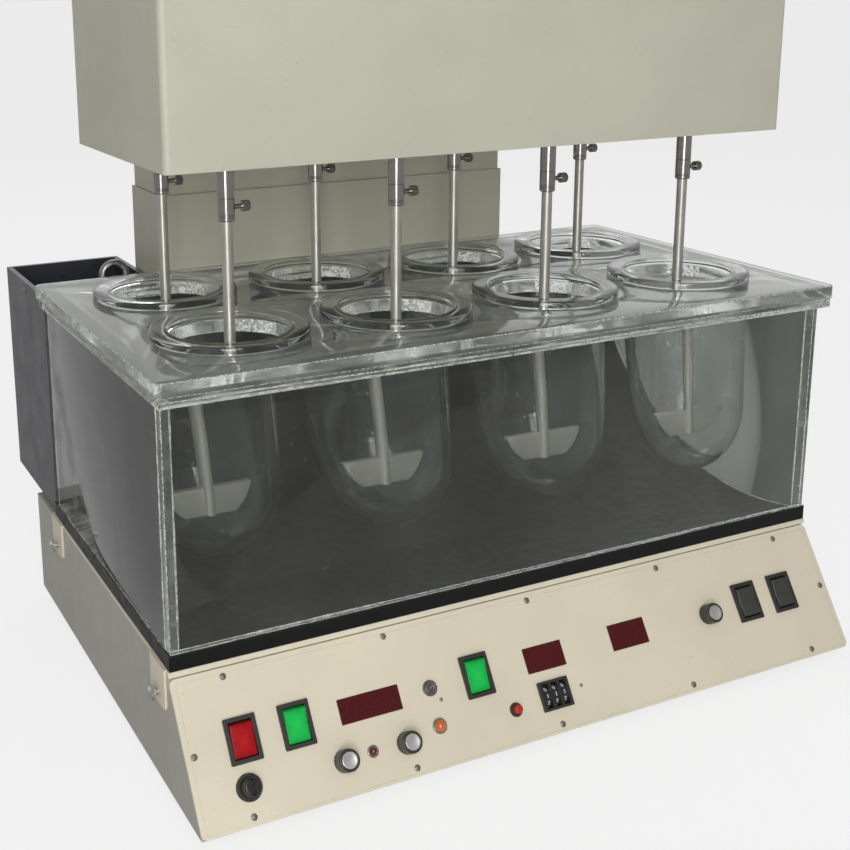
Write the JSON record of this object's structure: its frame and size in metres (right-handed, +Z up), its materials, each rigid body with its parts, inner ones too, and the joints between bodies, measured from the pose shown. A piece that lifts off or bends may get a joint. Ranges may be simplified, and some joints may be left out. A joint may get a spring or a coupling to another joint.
{
  "type": "tablet dissolution tester",
  "caption": "Bench tester that turns paddles in round bottom glass vessels hung in a clear heated water tank, with a sloped control console and a motor lifted drive head.",
  "frame": {"origin": "the middle of the footprint at the height of the surface that the feet stand on", "axes": "+Z up, -Y towards the user in front of the control panel, +X to the user's right"},
  "size_m": [0.676, 0.571, 0.702],
  "materials": {
    "console_paint": "satin grey powder paint",
    "panel_paint": "satin ivory paint",
    "column_paint": "satin grey powder paint",
    "head_paint": "satin grey powder paint",
    "foot_rubber": "matte",
    "screw_steel": "plated",
    "display_red": "polished dark red filter",
    "switch_black": "fine matte",
    "lamp_amber": "clear amber lens in a bright ring",
    "socket_metal": "plated",
    "clear_acrylic": "clear acrylic with polished faces and frosted glue edges",
    "lid_acrylic": "clear acrylic with fine scratches",
    "black_acrylic": "black acrylic",
    "well_black": "black acrylic",
    "heater_steel": "dull steel",
    "drive_steel": "machined steel",
    "frame_paint": "satin grey painted aluminium",
    "motor_paint": "dark enamel",
    "belt_rubber": "matte",
    "chuck_steel": "polished steel",
    "paddle_steel": "brushed stainless steel",
    "vessel_glass": "clear borosilicate glass",
    "lens_red": "translucent red",
    "lens_green": "translucent green",
    "rocker_black": "fine matte",
    "knob_metal": "turned bright aluminium",
    "button_red": "gloss",
    "wheel_black": "fine matte"
  },
  "bodies": {
    "base": {"console_tub": "console_paint", "rubber_feet": "foot_rubber", "deck_plate": "panel_paint", "control_panel": "panel_paint", "case_screws": "screw_steel", "display_windows": "display_red", "switch_bodies": "switch_black", "panel_lamps": "lamp_amber", "sockets": "socket_metal", "tank_walls": "clear_acrylic", "tank_black_panels": "black_acrylic", "heater_well": "well_black", "heater_tube": "heater_steel", "column_shell": "column_paint", "lift_gearbox": "motor_paint"},
    "lift_screw": {"lift_screw": "drive_steel"},
    "head": {"lift_carriage": "frame_paint", "head_cover": "head_paint", "head_bottom_plate": "head_paint", "spindle_bearings": "drive_steel", "drive_motor": "motor_paint", "drive_belt": "belt_rubber"},
    "spindle_f1": {"chuck_f1": "chuck_steel", "paddle_f1": "paddle_steel"},
    "spindle_f2": {"chuck_f2": "chuck_steel", "paddle_f2": "paddle_steel"},
    "spindle_f3": {"chuck_f3": "chuck_steel", "paddle_f3": "paddle_steel"},
    "spindle_f4": {"chuck_f4": "chuck_steel", "paddle_f4": "paddle_steel"},
    "spindle_r1": {"chuck_r1": "chuck_steel", "paddle_r1": "paddle_steel"},
    "spindle_r2": {"chuck_r2": "chuck_steel", "paddle_r2": "paddle_steel"},
    "spindle_r3": {"chuck_r3": "chuck_steel", "paddle_r3": "paddle_steel"},
    "spindle_r4": {"chuck_r4": "chuck_steel", "paddle_r4": "paddle_steel"},
    "lid": {"lid_plate": "lid_acrylic"},
    "vessel_f1": {"vessel_f1": "vessel_glass"},
    "vessel_f2": {"vessel_f2": "vessel_glass"},
    "vessel_f3": {"vessel_f3": "vessel_glass"},
    "vessel_f4": {"vessel_f4": "vessel_glass"},
    "vessel_r1": {"vessel_r1": "vessel_glass"},
    "vessel_r2": {"vessel_r2": "vessel_glass"},
    "vessel_r3": {"vessel_r3": "vessel_glass"},
    "vessel_r4": {"vessel_r4": "vessel_glass"},
    "red_rocker": {"red_rocker": "lens_red"},
    "green_rocker_a": {"green_rocker_a": "lens_green"},
    "green_rocker_b": {"green_rocker_b": "lens_green"},
    "black_rocker_a": {"black_rocker_a": "rocker_black"},
    "black_rocker_b": {"black_rocker_b": "rocker_black"},
    "knob_a": {"knob_a": "knob_metal"},
    "knob_b": {"knob_b": "knob_metal"},
    "knob_c": {"knob_c": "knob_metal"},
    "push_button": {"push_button": "button_red"},
    "thumbwheel_1": {"thumbwheel_1": "wheel_black"},
    "thumbwheel_2": {"thumbwheel_2": "wheel_black"},
    "thumbwheel_3": {"thumbwheel_3": "wheel_black"},
    "fuse_cap": {"fuse_cap": "switch_black"}
  },
  "joints": [
    {"name": "head_lift", "type": "slide", "parent": "base", "child": "head", "axis": [0, 0, 1], "range_m": [0, 0.18]},
    {"name": "lift_screw_turn", "type": "hinge", "parent": "base", "child": "lift_screw", "pos_m": [0, 0.16745, 0.1725], "axis": [0, 0, 1], "range_deg": [0, 3240]},
    {"name": "spindle_f1_turn", "type": "hinge", "parent": "head", "child": "spindle_f1", "pos_m": [-0.2325, -0.12755, 0.492], "axis": [0, 0, 1], "continuous": true},
    {"name": "spindle_f2_turn", "type": "hinge", "parent": "head", "child": "spindle_f2", "pos_m": [-0.0775, -0.12755, 0.492], "axis": [0, 0, 1], "continuous": true},
    {"name": "spindle_f3_turn", "type": "hinge", "parent": "head", "child": "spindle_f3", "pos_m": [0.0775, -0.12755, 0.492], "axis": [0, 0, 1], "continuous": true},
    {"name": "spindle_f4_turn", "type": "hinge", "parent": "head", "child": "spindle_f4", "pos_m": [0.2325, -0.12755, 0.492], "axis": [0, 0, 1], "continuous": true},
    {"name": "spindle_r1_turn", "type": "hinge", "parent": "head", "child": "spindle_r1", "pos_m": [-0.2325, 0.03295, 0.492], "axis": [0, 0, 1], "continuous": true},
    {"name": "spindle_r2_turn", "type": "hinge", "parent": "head", "child": "spindle_r2", "pos_m": [-0.0775, 0.03295, 0.492], "axis": [0, 0, 1], "continuous": true},
    {"name": "spindle_r3_turn", "type": "hinge", "parent": "head", "child": "spindle_r3", "pos_m": [0.0775, 0.03295, 0.492], "axis": [0, 0, 1], "continuous": true},
    {"name": "spindle_r4_turn", "type": "hinge", "parent": "head", "child": "spindle_r4", "pos_m": [0.2325, 0.03295, 0.492], "axis": [0, 0, 1], "continuous": true},
    {"name": "lid_lift", "type": "slide", "parent": "base", "child": "lid", "axis": [0, 0, 1], "range_m": [0, 0.01]},
    {"name": "vessel_f1_lift", "type": "slide", "parent": "lid", "child": "vessel_f1", "axis": [0, 0, 1], "range_m": [0, 0.01]},
    {"name": "vessel_f2_lift", "type": "slide", "parent": "lid", "child": "vessel_f2", "axis": [0, 0, 1], "range_m": [0, 0.01]},
    {"name": "vessel_f3_lift", "type": "slide", "parent": "lid", "child": "vessel_f3", "axis": [0, 0, 1], "range_m": [0, 0.01]},
    {"name": "vessel_f4_lift", "type": "slide", "parent": "lid", "child": "vessel_f4", "axis": [0, 0, 1], "range_m": [0, 0.01]},
    {"name": "vessel_r1_lift", "type": "slide", "parent": "lid", "child": "vessel_r1", "axis": [0, 0, 1], "range_m": [0, 0.01]},
    {"name": "vessel_r2_lift", "type": "slide", "parent": "lid", "child": "vessel_r2", "axis": [0, 0, 1], "range_m": [0, 0.01]},
    {"name": "vessel_r3_lift", "type": "slide", "parent": "lid", "child": "vessel_r3", "axis": [0, 0, 1], "range_m": [0, 0.01]},
    {"name": "vessel_r4_lift", "type": "slide", "parent": "lid", "child": "vessel_r4", "axis": [0, 0, 1], "range_m": [0, 0.01]},
    {"name": "red_rocker_tilt", "type": "hinge", "parent": "base", "child": "red_rocker", "pos_m": [-0.2795, -0.24818, 0.06053], "axis": [1, 0, 0], "range_deg": [-16, 0]},
    {"name": "green_rocker_a_tilt", "type": "hinge", "parent": "base", "child": "green_rocker_a", "pos_m": [-0.234, -0.24818, 0.06053], "axis": [1, 0, 0], "range_deg": [-16, 0]},
    {"name": "green_rocker_b_tilt", "type": "hinge", "parent": "base", "child": "green_rocker_b", "pos_m": [-0.0676, -0.24818, 0.06053], "axis": [1, 0, 0], "range_deg": [-16, 0]},
    {"name": "black_rocker_a_tilt", "type": "hinge", "parent": "base", "child": "black_rocker_a", "pos_m": [0.2288, -0.24818, 0.06053], "axis": [1, 0, 0], "range_deg": [-8, 8], "stiffness_Nm_per_rad": 0.15},
    {"name": "black_rocker_b_tilt", "type": "hinge", "parent": "base", "child": "black_rocker_b", "pos_m": [0.272, -0.24818, 0.06053], "axis": [1, 0, 0], "range_deg": [-8, 8], "stiffness_Nm_per_rad": 0.15},
    {"name": "knob_a_turn", "type": "hinge", "parent": "base", "child": "knob_a", "pos_m": [-0.202, -0.27472, 0.03493], "axis": [0, -0.8339, 0.5519], "range_deg": [-135, 135]},
    {"name": "knob_b_turn", "type": "hinge", "parent": "base", "child": "knob_b", "pos_m": [-0.1457, -0.27472, 0.03493], "axis": [0, -0.8339, 0.5519], "range_deg": [-135, 135]},
    {"name": "knob_c_turn", "type": "hinge", "parent": "base", "child": "knob_c", "pos_m": [0.1808, -0.25595, 0.06328], "axis": [0, -0.8339, 0.5519], "range_deg": [-135, 135]},
    {"name": "push_button_press", "type": "slide", "parent": "base", "child": "push_button", "axis": [0, 0.8339, -0.5519], "range_m": [0, 0.0025], "stiffness_N_per_m": 300},
    {"name": "thumbwheel_1_turn", "type": "hinge", "parent": "base", "child": "thumbwheel_1", "pos_m": [-0.008, -0.26253, 0.03214], "axis": [1, 0, 0], "continuous": true},
    {"name": "thumbwheel_2_turn", "type": "hinge", "parent": "base", "child": "thumbwheel_2", "pos_m": [0.0006, -0.26253, 0.03214], "axis": [1, 0, 0], "continuous": true},
    {"name": "thumbwheel_3_turn", "type": "hinge", "parent": "base", "child": "thumbwheel_3", "pos_m": [0.0092, -0.26253, 0.03214], "axis": [1, 0, 0], "continuous": true},
    {"name": "fuse_cap_turn", "type": "hinge", "parent": "base", "child": "fuse_cap", "pos_m": [-0.283, -0.27416, 0.03576], "axis": [0, -0.8339, 0.5519], "range_deg": [0, 90]}
  ],
  "couplings": [
    {"joint": "lift_screw_turn", "follows": "head_lift", "rad_per_m": 314.16},
    {"joint": "spindle_f1_turn", "follows": "spindle_f2_turn", "ratio": 1},
    {"joint": "spindle_f3_turn", "follows": "spindle_f2_turn", "ratio": 1},
    {"joint": "spindle_f4_turn", "follows": "spindle_f2_turn", "ratio": 1},
    {"joint": "spindle_r1_turn", "follows": "spindle_f2_turn", "ratio": 1},
    {"joint": "spindle_r2_turn", "follows": "spindle_f2_turn", "ratio": 1},
    {"joint": "spindle_r3_turn", "follows": "spindle_f2_turn", "ratio": 1},
    {"joint": "spindle_r4_turn", "follows": "spindle_f2_turn", "ratio": 1}
  ]
}
